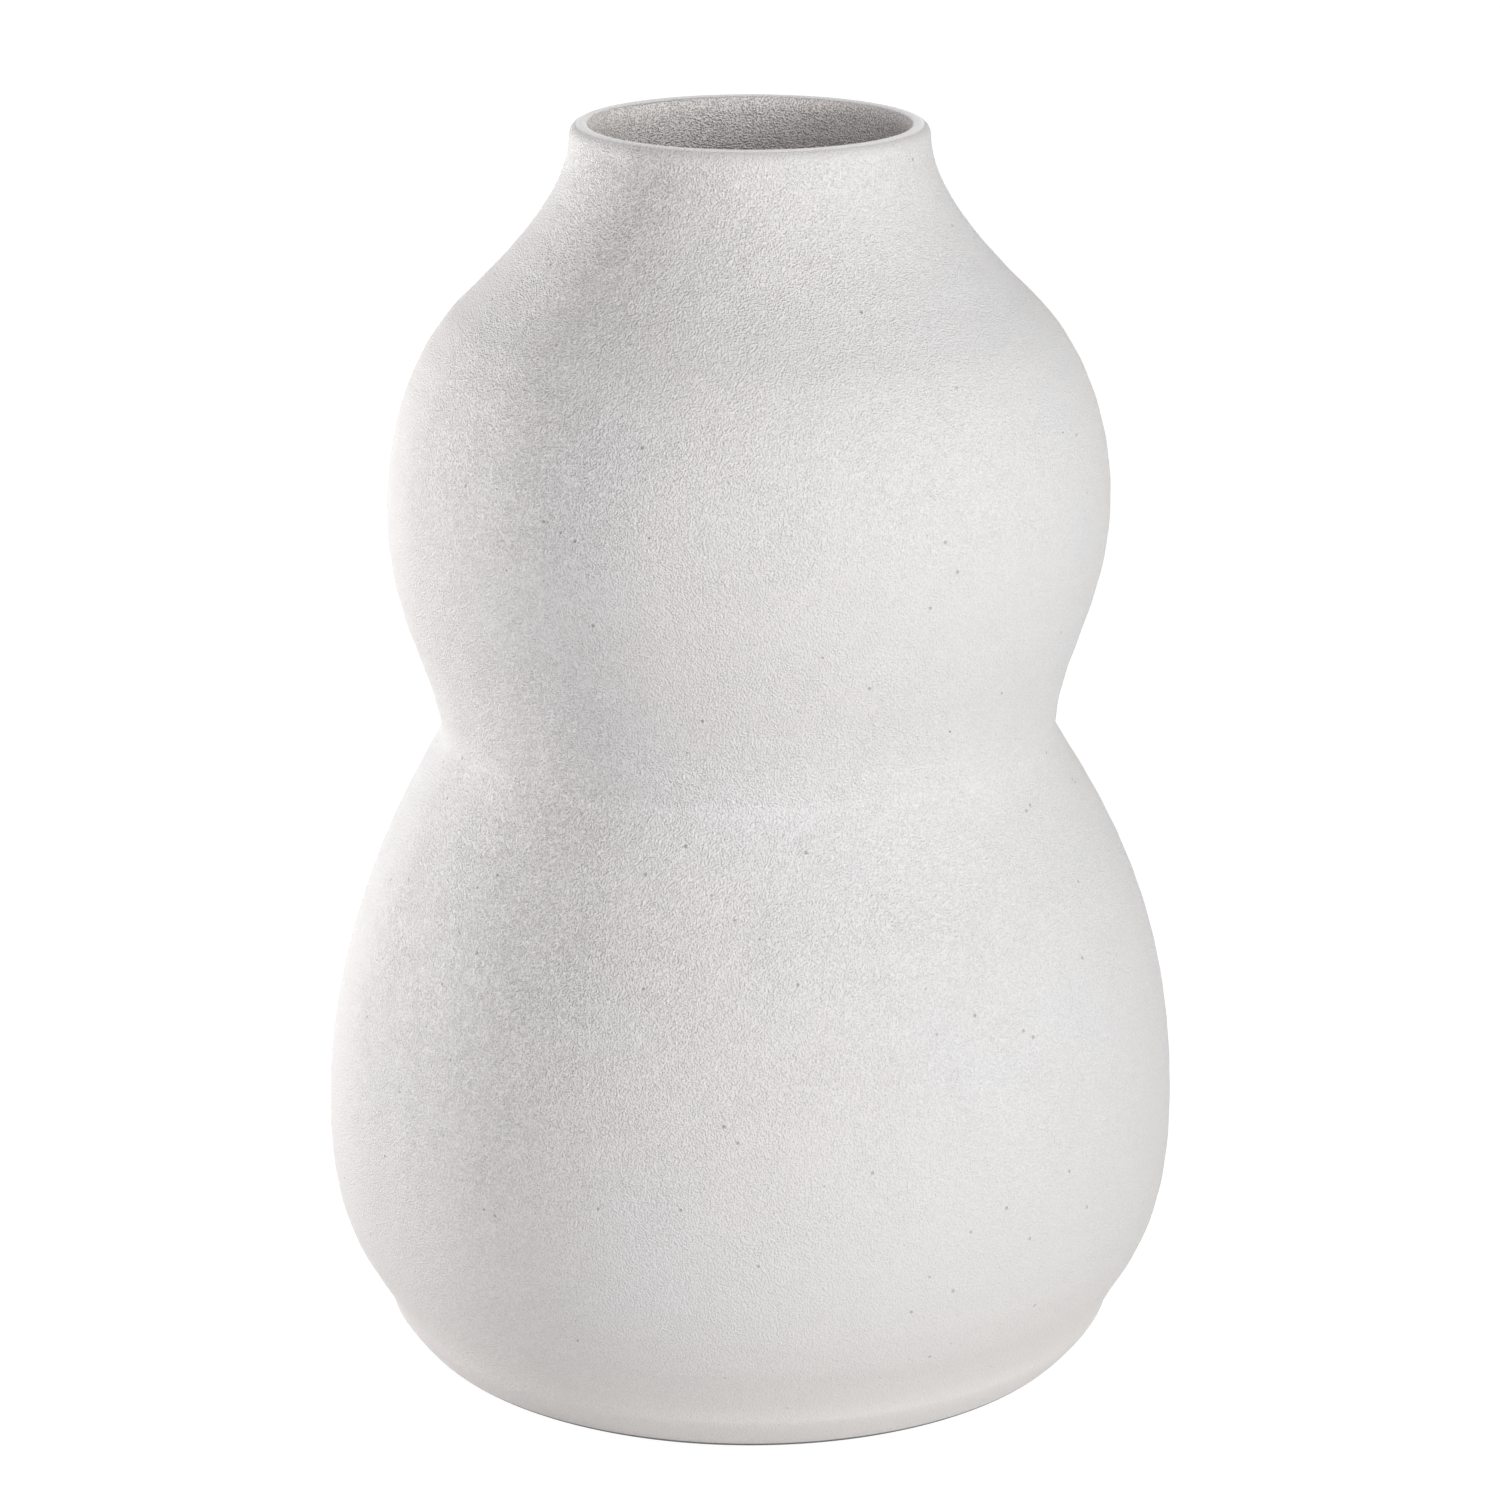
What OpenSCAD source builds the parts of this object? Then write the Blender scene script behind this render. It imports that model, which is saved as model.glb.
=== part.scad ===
// Double gourd vase in matt white stoneware: a wide lower chamber, a smaller upper chamber
// with a narrow mouth, and the ring of slip that joins the two rims at the waist.
// Sizes are in millimetres. The origin is the middle of the foot, on the table, with Z up.

/* [Foot] */
// Diameter of the outer edge of the face that stands on the table
foot_d = 163; // [152:1:170]
// Diameter at the top of the rounded foot edge
band_d = 179.5; // [174:0.5:184]
// Height of the rounded foot edge
band_h = 9.5; // [7:0.5:12]
// Lean of the foot band from upright, in degrees
band_lean = 15.5; // [8:0.5:24]
// Diameter of the recess under the floor
recess_d = 142; // [120:1:146]
// Depth of the recess under the floor
recess_h = 3; // [2:0.5:5]
// Thickness of the floor over the recess
floor_t = 7; // [5:0.5:10]
// Diameter of the flat middle of the floor, inside
floor_flat_d = 120; // [90:1:135]

/* [Lower chamber] */
// Widest diameter of the lower chamber
belly_d = 208; // [200:1:225]
// Height of that widest place above the table
belly_h = 57; // [50:0.5:65]
// Height of the seam at the waist above the table
seam_h = 155; // [140:1:175]

/* [Waist] */
// Outside diameter at the bottom of the crease
waist_d = 149; // [135:1:160]
// Radius of the wiped crease
crease_r = 7.5; // [4:0.5:10]
// Lean inwards of the wall just below the crease, in degrees
below_crease_lean = 23.5; // [12:0.5:28]
// Lean outwards of the wall just above the crease, in degrees
above_crease_lean = 6.5; // [4:0.5:20]

/* [Upper chamber] */
// Widest diameter of the upper chamber
bulb_d = 173; // [166:1:190]
// Height of that widest place above the seam
bulb_h = 54; // [48:0.5:60]
// Diameter at the middle of the shoulder
shoulder_d = 139; // [130:1:146]
// Depth of the middle of the shoulder below the top of the lip
shoulder_drop = 43.5; // [38:0.5:50]
// Lean inwards of the middle of the shoulder, in degrees
shoulder_lean = 45; // [38:0.5:52]
// Height of the upper chamber from the seam to the top of the lip
upper_h = 145; // [138:1:155]
// Outside diameter of the lip
mouth_d = 85; // [76:1:96]

/* [Walls] */
// Thickness of the thrown walls
wall_t = 5.5; // [4.5:0.1:6.5]
// Thickness of the wall over the foot, where it turns in to the floor
cove_t = 6.5; // [5:0.1:8]
// Thickness of the full round lip
lip_t = 5.8; // [4.6:0.1:7]
// Thickness of the two rims where they are joined
rim_t = 8; // [7:0.1:10]

/* [Seam] */
// Thickness of the slip between the rims
slip_t = 0.8; // [0.4:0.1:1.4]
// Width of the groove and of the ridge that key the rims together
key_w = 3.2; // [2:0.1:3.8]
// Height of that ridge
key_h = 1.6; // [0.8:0.1:2.4]
// Width of the bevel along the outer edge of each rim
bevel_w = 1.2; // [0.8:0.1:1.8]
// Radius of the bead of slip squeezed out inside
bead_r = 2.2; // [1.4:0.1:2.8]
// Radius of the rounded ridge that the joined rims form inside
ridge_r = 8; // [6:0.5:12]
// Lean of the inside walls where they meet that ridge, in degrees
ridge_lean = 25; // [22:1:32]

/* [Hidden] */

// Number of straight steps in each curve and in each short arc
curve_steps = 22;
arc_steps = 8;
$fn = 120;

// Handle lengths of the outline's curves, as shares of the straight distance that each spans
foot_edge_shares = [0.16, 0.15];
cove_shares = [0.25, 0.65];
belly_shares = [0.54, 0.10];
bulb_shares = [0.32, 0.44];
bulb_top_shares = [0.55, 0.12];
neck_shares = [0.27, 0.30];
bowl_shares = [0.50, 0.42];
flank_shares = [0.34, 0.36];

// Lean of a level surface, in degrees, and the middle of a curve as a share of its run
level = 90;
middle_share = 0.5;

// Places worked out from the sizes above
lip_z = seam_h + upper_h;
waist_r = waist_d / 2;
crease_centre = [waist_r + crease_r, seam_h];
ridge_centre = [waist_r - rim_t + ridge_r, seam_h];
bead_centre = [waist_r - rim_t, seam_h];
lip_centre = [(mouth_d - lip_t) / 2, lip_z - lip_t / 2];
key_r = waist_r - rim_t / 2;
floor_z = recess_h + floor_t;

// Angles at which the slip and the bead end on the inside ridge
slip_angle = asin(slip_t / 2 / ridge_r);
bead_angle = 2 * asin(bead_r / 2 / ridge_r);

// Direction up a wall that leans outwards by an angle, and the direction square to it into the clay
function upward(lean) = [sin(lean), cos(lean)];
function inward(lean) = [-cos(lean), sin(lean)];

// Point on a smooth curve through its handles, at a share of the way
function blend(a, b, share) = a + (b - a) * share;
function curve_point(points, share) =
    len(points) == 1
        ? points[0]
        : curve_point([for (i = [1 : len(points) - 1]) blend(points[i - 1], points[i], share)], share);

// A station is a place on the outline and the lean of the wall there
function place(station) = station[0];
function lean(station) = station[1];
function inside(station, thickness) = [place(station) + inward(lean(station)) * thickness, lean(station)];

// Two stations with a handle at each, as long as its share of the distance between them
function handles(low, high, shares) =
    let (distance = norm(place(high) - place(low)))
    [
        place(low),
        place(low) + upward(lean(low)) * distance * shares[0],
        place(high) - upward(lean(high)) * distance * shares[1],
        place(high)
    ];

// Curve up from one station to the next, without its first point
function rise(low, high, shares) =
    [for (i = [1 : curve_steps]) curve_point(handles(low, high, shares), i / curve_steps)];

// Station in the middle of that curve, where the two halves of its handles meet
function half_way(low, high, shares) =
    let (points = handles(low, high, shares))
    let (low_half = blend(blend(points[0], points[1], middle_share), blend(points[1], points[2], middle_share),
        middle_share))
    let (high_half = blend(blend(points[1], points[2], middle_share), blend(points[2], points[3], middle_share),
        middle_share))
    let (heading = high_half - low_half)
    [blend(low_half, high_half, middle_share), atan2(heading.x, heading.y)];

// Point of a circle, and an arc of it without its first point
function on_circle(centre, radius, angle) = centre + radius * [cos(angle), sin(angle)];
function arc(centre, radius, first_angle, last_angle) =
    [for (i = [1 : arc_steps]) on_circle(centre, radius, blend(first_angle, last_angle, i / arc_steps))];

// The same points in the other order, and the points after the first
function reversed(points) = [for (i = [len(points) - 1 : -1 : 0]) points[i]];
function after_first(points) = [for (i = [1 : len(points) - 1]) points[i]];

// Stations of the outside, from the table up
foot = [[foot_d / 2, 0], level];
band = [[band_d / 2, band_h], band_lean];
belly = [[belly_d / 2, belly_h], 0];
below_crease = [on_circle(crease_centre, crease_r, 180 + below_crease_lean), -below_crease_lean];
above_crease = [on_circle(crease_centre, crease_r, 180 - above_crease_lean), above_crease_lean];
bulb = [[bulb_d / 2, seam_h + bulb_h], 0];
shoulder = [[shoulder_d / 2, lip_z - shoulder_drop], -shoulder_lean];
neck = [[mouth_d / 2, lip_z - lip_t / 2], 0];

// Stations of the inside
floor_edge = [[floor_flat_d / 2, floor_z], level];
cove_inside = inside(half_way(band, belly, cove_shares), cove_t);
belly_inside = inside(belly, wall_t);
below_ridge = [on_circle(ridge_centre, ridge_r, 180 + ridge_lean), -ridge_lean];
above_ridge = [on_circle(ridge_centre, ridge_r, 180 - ridge_lean), ridge_lean];
bulb_inside = inside(bulb, wall_t);
shoulder_inside = inside(shoulder, wall_t);
neck_inside = inside(neck, lip_t);

// Underside of the floor, with a rounded corner down to the foot ring
underside = concat([[0, recess_h], [recess_d / 2 - recess_h, recess_h]],
    arc([recess_d / 2 - recess_h, 0], recess_h, level, 0));

// Outside and inside of each chamber, from the bottom up
lower_outside = concat([place(foot)], rise(foot, band, foot_edge_shares), rise(band, belly, cove_shares),
    rise(belly, below_crease, belly_shares));
lower_inside = concat([place(floor_edge)], rise(floor_edge, cove_inside, bowl_shares),
    rise(cove_inside, belly_inside, flank_shares), rise(belly_inside, below_ridge, belly_shares));
upper_outside = concat([place(above_crease)], rise(above_crease, bulb, bulb_shares),
    rise(bulb, shoulder, bulb_top_shares), rise(shoulder, neck, neck_shares));
upper_inside = concat(rise(above_ridge, bulb_inside, bulb_shares),
    rise(bulb_inside, shoulder_inside, bulb_top_shares), rise(shoulder_inside, neck_inside, neck_shares));

// Face of a rim from its bevel inwards: side -1 is the groove of the lower rim, and side 1 is the
// ridge of the upper rim, which fits the groove over the slip
function rim_face(side) =
    let (face_z = seam_h + side * slip_t / 2)
    [
        [waist_r - bevel_w, face_z],
        [key_r + key_w / 2, face_z],
        [key_r, face_z - key_h],
        [key_r - key_w / 2, face_z],
        on_circle(ridge_centre, ridge_r, 180 - side * slip_angle)
    ];

// The rounded inside of a rim: the stretch that the bead covers, then the bare stretch
function covered_ridge(side) = arc(ridge_centre, ridge_r, 180 - side * slip_angle, 180 - side * bead_angle);
function bare_ridge(side) = arc(ridge_centre, ridge_r, 180 - side * bead_angle, 180 - side * ridge_lean);
function rim(side) = concat(rim_face(side), covered_ridge(side), bare_ridge(side));

// Half sections, each drawn anticlockwise round the clay
lower_half = concat(underside, lower_outside, rim(-1), after_first(reversed(lower_inside)), [[0, floor_z]]);
upper_half = concat(upper_outside, arc(lip_centre, lip_t / 2, 0, 180), after_first(reversed(upper_inside)),
    reversed(rim(1)));
seam_half = concat([place(below_crease)],
    arc(crease_centre, crease_r, 180 + below_crease_lean, 180 - above_crease_lean),
    rim_face(1), covered_ridge(1), arc(bead_centre, bead_r, 90 - bead_angle / 2, 270 + bead_angle / 2),
    after_first(reversed(covered_ridge(-1))), reversed(rim_face(-1)));

// Lower chamber: foot ring, floor, belly and the grooved rim
module lower_section() {
    color("#dbd9d5") rotate_extrude() polygon(lower_half);
}

// Upper chamber: ridged rim, bulb, shoulder, neck and full round lip
module upper_section() {
    color("#dfddda") rotate_extrude() polygon(upper_half);
}

// Slip between the rims, wiped to a crease outside and left as a bead inside
module luting_seam() {
    color("#e8e6e2") rotate_extrude() polygon(seam_half);
}

lower_section();
upper_section();
luting_seam();
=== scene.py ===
"""Double gourd vase in matt white stoneware.

Two thrown sections, a wide lower chamber and a smaller upper one, are joined rim to rim with slip.
Each piece is turned from its own half section, and the three share the marks that the hand left.
Sizes are in metres. The origin is the middle of the foot, on the table, with Z up.
"""

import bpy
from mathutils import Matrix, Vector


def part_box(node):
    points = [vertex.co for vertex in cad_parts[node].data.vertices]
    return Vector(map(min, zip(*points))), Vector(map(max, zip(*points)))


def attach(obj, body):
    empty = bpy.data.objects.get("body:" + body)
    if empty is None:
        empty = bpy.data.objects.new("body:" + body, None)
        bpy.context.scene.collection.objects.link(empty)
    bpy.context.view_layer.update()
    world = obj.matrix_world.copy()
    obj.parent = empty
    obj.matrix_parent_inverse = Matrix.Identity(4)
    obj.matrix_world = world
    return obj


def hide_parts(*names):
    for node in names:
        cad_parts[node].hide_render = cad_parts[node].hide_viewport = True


bl_info = {
    "name": "Double gourd vase",
    "version": (1, 0, 0),
    "blender": (4, 5, 0),
    "location": "3D View > Sidebar > Vase",
    "description": "Turns a stoneware double gourd vase and sets it in a plain studio",
    "category": "Add Mesh",
}

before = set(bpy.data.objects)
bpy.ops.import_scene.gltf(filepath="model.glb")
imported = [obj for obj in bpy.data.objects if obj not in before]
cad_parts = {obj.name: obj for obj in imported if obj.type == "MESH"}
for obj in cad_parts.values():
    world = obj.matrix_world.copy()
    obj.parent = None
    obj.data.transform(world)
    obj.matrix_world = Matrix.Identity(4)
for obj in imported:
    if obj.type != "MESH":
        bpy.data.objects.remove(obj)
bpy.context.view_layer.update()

from dataclasses import dataclass
from math import asin, atan2, cos, exp, hypot, pi, radians, sin

import bmesh
import bpy
from bpy.props import FloatProperty, FloatVectorProperty, IntProperty, PointerProperty
from mathutils import Vector, noise
from mathutils.geometry import interpolate_bezier

LIP_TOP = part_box("upper_section")[1].z

# Handle lengths of the outline's curves, as shares of the straight distance that each spans
FOOT_EDGE_SHARES = (0.16, 0.15)
COVE_SHARES = (0.25, 0.65)
BELLY_SHARES = (0.54, 0.10)
BULB_SHARES = (0.32, 0.44)
BULB_TOP_SHARES = (0.55, 0.12)
NECK_SHARES = (0.27, 0.30)
BOWL_SHARES = (0.50, 0.42)
FLANK_SHARES = (0.34, 0.36)
LEVEL = radians(90)

# Turning: an edge bent by more than this stays sharp, and points closer than this are one
SHARP_EDGE = radians(35)
WELD_DISTANCE = 1e-6

# A face this little above the recess is still underside, and one that faces up more than this is floor
RECESS_MARGIN = 1.01
FACES_UP = 0.5

# The throwing rings: the steady and the varying share of their depth, over how many rings that varies,
# how far they wander up and down, and over how many
RING_STEADY, RING_VARIED, RING_SPAN = 0.6, 0.4, 3
RING_WANDER, WANDER_SPAN = 1.5, 2.3

# Out of round: the share that has two sides and the share that has three, over how many rings each turns
# by a radian, and where the first begins
OVAL_SHARE, OVAL_SPAN, OVAL_START = 0.6, 6, 0.6
LOBE_SHARE, LOBE_SPAN = 0.4, 4

# Values between which nearly all of a noise lies
NOISE_SPREAD = (0.3, 0.7)
HUE_SPREAD = (0.35, 0.65)

# Sand: weight of the swell next to the grains, the height of both at which a pit begins and is full, and
# how dense and how strong the slow drift in the depth is
SWELL_WEIGHT = 1.6
PIT_EDGE, PIT_FULL = 1.45, 1.0
DRIFT_DENSITY = 90.0
DRIFT_REACH = (0.92, 1.08)

# Share of a pinhole's radius that is at full depth, and shifts that keep holes and specks apart
PINHOLE_CORE = 0.55
HOLE_SHIFT = (0.013, 0.021, 0.004)
SPECK_SHIFT = (0.007, 0.035, 0.019)
BARE_SPECK_SHIFT = (0.002, 0.011, 0.0)

# Sockets of the shader groups that aren't plain numbers
SOCKET_KINDS = {"Shift": "NodeSocketVector", "Clay": "NodeSocketColor", "Colour": "NodeSocketColor"}

# Density of the rib lines along X, Y and Z, and of the noise that makes the bands' edges waver
RIB_LINE_DENSITY = (16.0, 16.0, 420.0)
WAVER_DENSITY = 28.0

# Soft patches in the clay: size and strength, density of the hues next to them, and the two hues
PATCH_SIZE, PATCH_AMOUNT = 0.035, 0.008
BARE_PATCH_SIZE, BARE_PATCH_AMOUNT = 0.02, 0.10
HUE_DENSITY = 0.6
COOL_HUE = (0.990, 0.990, 1.0, 1.0)
WARM_HUE = (1.0, 0.993, 0.982, 1.0)

# Edges of the bands. The softness at the lip and the crest is a multiple of the band
EDGE_SOFTNESS = 1.5
INSIDE_LIP_SHARE = 0.25
LIP_WAVER = 0.0008
FOOT_SOFTNESS, FOOT_WAVER = 0.030, 0.010
# Reach and edges of the band of painted light about the crease
CREASE_BELOW, CREASE_ABOVE = 0.25, 1.75
CREASE_SOFTNESS, CREASE_WAVER = 0.020, 0.004
WARM_PARTS, WARM_WAVER = 3, 0.02
# Edges of the painted contact shadow
CONTACT_SHADOW_PARTS, CONTACT_SHADOW_WAVER = 3, 0.0002

# Strength of the sand on the inside of the lip, how much of a pinhole's painted shade shows, how much less of it
# shows at the foot, and how much rougher the pits are
INSIDE_LIP_SAND = 0.5
HOLES_SHOWN, HOLES_LOST_AT_FOOT = 0.95, 0.9
PIT_ROUGHNESS = 0.12

# Bare clay next to the white: size and depth of the sand, density of the specks, and the pits' shade and
# roughness
BARE_GRAIN, BARE_DEPTH, BARE_SPECKS = 1.3, 1.2, 3
BARE_PIT_SHADE, BARE_PIT_ROUGHNESS = 0.3, 0.1

# Bearings of the softboxes, to the right of the camera
KEY_BEARING = radians(60)
FRONT_BEARING = 0.0
RIM_BEARING = radians(-120)

# Width of the camera's frame in millimetres, and sides of the round floor
SENSOR_WIDTH = 36.0
FLOOR_SIDES = 64

# How strongly the sand stands out at shares of the vase's height, and from the left, -1, to the right, 1.
# The same strength sets the painted light of the sand lift. That lift lightens the clay where the strength is high
# and darkens it where it is low. The side table's end stops paint a darker left edge and a lighter right edge,
# so that table holds painted light and shade by side as well as sand.
SAND_AND_LIGHT_BY_HEIGHT = (
    (0.00, 0.36), (0.03, 0.40), (0.10, 0.55), (0.17, 0.64), (0.25, 0.92), (0.34, 1.12), (0.45, 1.28), (0.52, 1.30),
    (0.59, 1.08), (0.67, 0.85), (0.76, 1.14), (0.84, 1.14), (0.92, 1.40), (0.985, 1.50), (0.995, 0.80), (1.00, 0.45),
)
SAND_AND_LIGHT_BY_SIDE = (
    (-1.00, 0.50), (-0.88, 1.50), (-0.75, 2.10), (-0.60, 2.10), (-0.45, 1.55), (-0.30, 1.20), (0.00, 1.00),
    (0.30, 0.87), (0.60, 0.78), (0.75, 0.70), (1.00, 0.60),
)


def size(name, default, description):
    """A length that a maker would change."""
    return FloatProperty(name=name, description=description, default=default, min=0.0, unit="LENGTH", precision=4)


def offset(name, default, description):
    """A length that may point either way."""
    return FloatProperty(name=name, description=description, default=default, unit="LENGTH", precision=4)


def lean_angle(name, default, description):
    """An angle from upright or from level, given in degrees."""
    return FloatProperty(name=name, description=description, default=radians(default), subtype="ANGLE")


def number(name, default, description):
    """A plain number from zero up."""
    return FloatProperty(name=name, description=description, default=default, min=0.0, precision=3)


def colour(name, default, description):
    """A colour for a clay or a backdrop."""
    return FloatVectorProperty(
        name=name, description=description, default=default, size=3, min=0.0, max=1.0, subtype="COLOR"
    )


class VaseShape(bpy.types.PropertyGroup):
    """Sizes of the three turned pieces"""

    foot_width: size("Foot width", 0.163, "Diameter of the outer edge of the face that stands on the table")
    band_width: size("Band width", 0.1795, "Diameter at the top of the rounded foot edge")
    band_height: size("Band height", 0.0095, "Height of the rounded foot edge")
    band_lean: lean_angle("Band lean", 15.5, "Lean of the foot band from upright")
    recess_width: size("Recess width", 0.142, "Diameter of the recess under the floor")
    recess_height: size("Recess height", 0.003, "Depth of the recess under the floor")
    floor_thickness: size("Floor thickness", 0.007, "Thickness of the floor over the recess")
    floor_flat_width: size("Flat floor width", 0.120, "Diameter of the flat middle of the floor, inside")
    belly_width: size("Belly width", 0.208, "Widest diameter of the lower chamber")
    belly_height: size("Belly height", 0.057, "Height of that widest place")
    seam_height: size("Seam height", 0.155, "Height of the seam at the waist")
    waist_width: size("Waist width", 0.149, "Outside diameter at the bottom of the crease")
    crease_radius: size("Crease radius", 0.0075, "Radius of the wiped crease")
    below_crease_lean: lean_angle("Lean below the crease", 23.5, "Lean inwards of the wall just below the crease")
    above_crease_lean: lean_angle("Lean above the crease", 6.5, "Lean outwards of the wall just above the crease")
    bulb_width: size("Bulb width", 0.173, "Widest diameter of the upper chamber")
    bulb_height: size("Bulb height", 0.054, "Height of that widest place above the seam")
    shoulder_width: size("Shoulder width", 0.139, "Diameter at the middle of the shoulder")
    shoulder_drop: size("Shoulder drop", 0.0435, "Depth of the middle of the shoulder below the top of the lip")
    shoulder_lean: lean_angle("Shoulder lean", 45, "Lean inwards of the middle of the shoulder")
    lip_height: size("Lip height", LIP_TOP, "Height of the top of the lip above the table")
    mouth_width: size("Mouth width", 0.085, "Outside diameter of the lip")
    wall: size("Wall", 0.0055, "Thickness of the thrown walls")
    cove_wall: size("Cove wall", 0.0065, "Thickness of the wall over the foot, where it turns in to the floor")
    lip: size("Lip", 0.0058, "Thickness of the full round lip")
    rim: size("Rim", 0.008, "Thickness of the two rims where they are joined")
    slip: size("Slip", 0.0008, "Thickness of the slip between the rims")
    key_width: size("Key width", 0.0032, "Width of the groove and of the ridge that key the rims together")
    key_height: size("Key height", 0.0016, "Height of that ridge")
    bevel: size("Bevel", 0.0012, "Width of the bevel along the outer edge of each rim")
    bead: size("Bead", 0.0022, "Radius of the bead of slip squeezed out inside")
    ridge: size("Ridge", 0.008, "Radius of the rounded ridge that the joined rims form inside")
    ridge_lean: lean_angle("Ridge lean", 25, "Lean of the inside walls where they meet that ridge")
    sectors: IntProperty(name="Sectors", description="Equal sectors that make a full turn", default=16, min=2)
    sector_steps: IntProperty(name="Sector steps", description="Steps in a sector", default=16, min=2)
    curve_steps: IntProperty(name="Curve steps", description="Steps in each long curve", default=34, min=4)
    arc_steps: IntProperty(name="Arc steps", description="Steps in each short arc", default=10, min=2)


class VaseHandwork(bpy.types.PropertyGroup):
    """Marks that the hand left on the wheel"""

    ring_pitch: size("Ring pitch", 0.009, "Height between two throwing rings")
    ring_depth: size("Ring depth", 0.00016, "Depth of the throwing rings")
    out_of_round: size("Out of round", 0.0004, "How far the wall draws in from a true circle")
    core: size("Core", 0.03, "Radius within which the floor is left true")
    upper_sway: offset("Upper sway", -0.0011, "How far the upper chamber leans aside above the seam")
    upper_sway_height: size("Upper sway height", 0.177, "Height at which it leans the most")
    upper_sway_reach: size("Upper sway reach", 0.018, "How far up and down that lean reaches")
    lower_sway: offset("Lower sway", 0.0006, "How far the lower chamber leans aside above the belly")
    lower_sway_height: size("Lower sway height", 0.108, "Height at which it leans the most")
    lower_sway_reach: size("Lower sway reach", 0.022, "How far up and down that lean reaches")


class VaseFinish(bpy.types.PropertyGroup):
    """Colours and surface of the fired clay, and the light and shade painted into them"""

    clay: colour("Clay", (0.761, 0.744, 0.739), "Colour of the matt white stoneware")
    # The clay is painted warmer towards the bottom.
    warm_clay: colour("Warm clay", (0.772, 0.737, 0.720), "Colour near the foot, where the white is thinner")
    # Painted light: the inside's clay is lighter and warmer than the outside's; the lightness makes up for the shade
    # inside the vase.
    inside_clay_lit: colour("Inside clay", (0.835, 0.793, 0.770), "Colour of the clay inside, below the lip")
    bare_clay: colour("Bare clay", (0.660, 0.590, 0.500), "Colour of the wiped clay under the foot")
    # Painted shade: this grey stands in for the shade in the bottom of the pinholes, and in the pits of the bare
    # clay.
    pinhole_shade: colour("Pinhole", (0.480, 0.466, 0.452), "Colour in the bottom of a pinhole")
    iron: colour("Iron speck", (0.030, 0.026, 0.024), "Colour of the rare specks of iron")
    gloss: number("Gloss", 0.35, "Strength of the clay's reflection, where 0.5 is that of common glass")
    # Painted shade: the lip's band is darkened a little, as shade on the top of the lip that faces up.
    lip_painted_shade: number("Lip shade", 0.95, "How light the wiped lip is, next to the sandy white")
    # Painted highlight: the line along the crest of the lip is lightened in the colour; the crest also gets a clear
    # coat.
    crest_painted_highlight: number("Crest shade", 1.30, "How light the crest of the lip is, next to the sandy white")
    # Painted light: the foot band is lightened, to make up for the darkening that the sand lift paints where the sand
    # is weak.
    foot_painted_light: number("Foot shade", 1.02, "How light the wiped foot is, next to the sandy white")
    # Painted light: the band about the crease is lightened, to make up for the shade that falls in the crease.
    crease_painted_light: number("Crease shade", 1.015, "How light the slip about the crease is, next to the sandy white")
    crest_roughness: number("Crest roughness", 0.20, "Roughness of the crest of the lip, which the fingers burnished")
    roughness: number("Roughness", 0.58, "Roughness of the sandy white")
    smooth_roughness: number("Smooth roughness", 0.50, "Roughness where the clay was wiped smooth")
    bare_roughness: number("Bare roughness", 0.75, "Roughness under the foot")
    grain: size("Sand grain", 0.00044, "Size of the sand grains in the surface")
    grain_depth: size("Grain depth", 0.0002, "How far the sand grains stand up")
    line_depth: size("Line depth", 0.00002, "Depth of the fine lines left by the throwing rib")
    # Partly the grains' own tone and partly painted shade in the pits between them.
    pit_tone_and_shade: number("Pit tone", 0.10, "How much darker the pits are than the grains that stand up")
    pit_mean: number("Pit mean", 0.42, "Share of the surface that the pits take up")
    # Painted light: the clay's colour is lightened with the sand's strength, to make up for the shade that the
    # stronger bump casts on itself, and darkened where the sand is weak.
    sand_painted_light: number("Sand lift", 0.14, "How much lighter the clay is for each step up in the sand's strength")
    # Caps the tone of the paint, and with it the painted light of the sand lift.
    lightest: number("Lightest", 1.0, "How light the lightest grains are")
    inside_sand: number("Inside sand", 1.7, "How strongly the sand stands out inside, next to the outside")
    # Inside, the pits are darkened more: partly the grains' own tone, partly painted shade.
    inside_tone_and_shade: number("Inside tone", 3.0, "How much darker the pits are inside, next to the outside")
    pinhole_spacing: size("Pinhole spacing", 0.0078, "Mean distance between pinholes, through the clay")
    pinhole_radius: size("Pinhole radius", 0.0005, "Radius of the largest pinholes")
    pinhole_depth: size("Pinhole depth", 0.00018, "Depth of the pinholes")
    iron_spacing: size("Iron spacing", 0.030, "Mean distance between iron specks, through the clay")
    iron_radius: size("Iron radius", 0.00030, "Radius of the largest iron specks")
    lip_band: size("Lip band", 0.0012, "Height of the band at the lip that was wiped smooth")
    # Height of the painted highlight along the crest.
    crest_highlight_band: size("Crest band", 0.0002, "Height of the light line along the crest of the lip")
    foot_band: size("Foot band", 0.010, "Height of the band above the table that was wiped smooth")
    # Reach of the painted light about the crease.
    crease_light_band: size("Crease band", 0.016, "How far the wiped slip reaches up and down from the crease")
    warm_band: size("Warm band", 0.034, "Height to which the clay looks warmer")
    # Painted shadow: a dark line at the bottom of the foot, where it meets the table.
    contact_shadow_band: size("Contact line", 0.0011, "Height of the dark line where the foot meets the table")
    contact_shadow: colour("Contact", (0.085, 0.080, 0.078), "Colour of that line")


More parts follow.
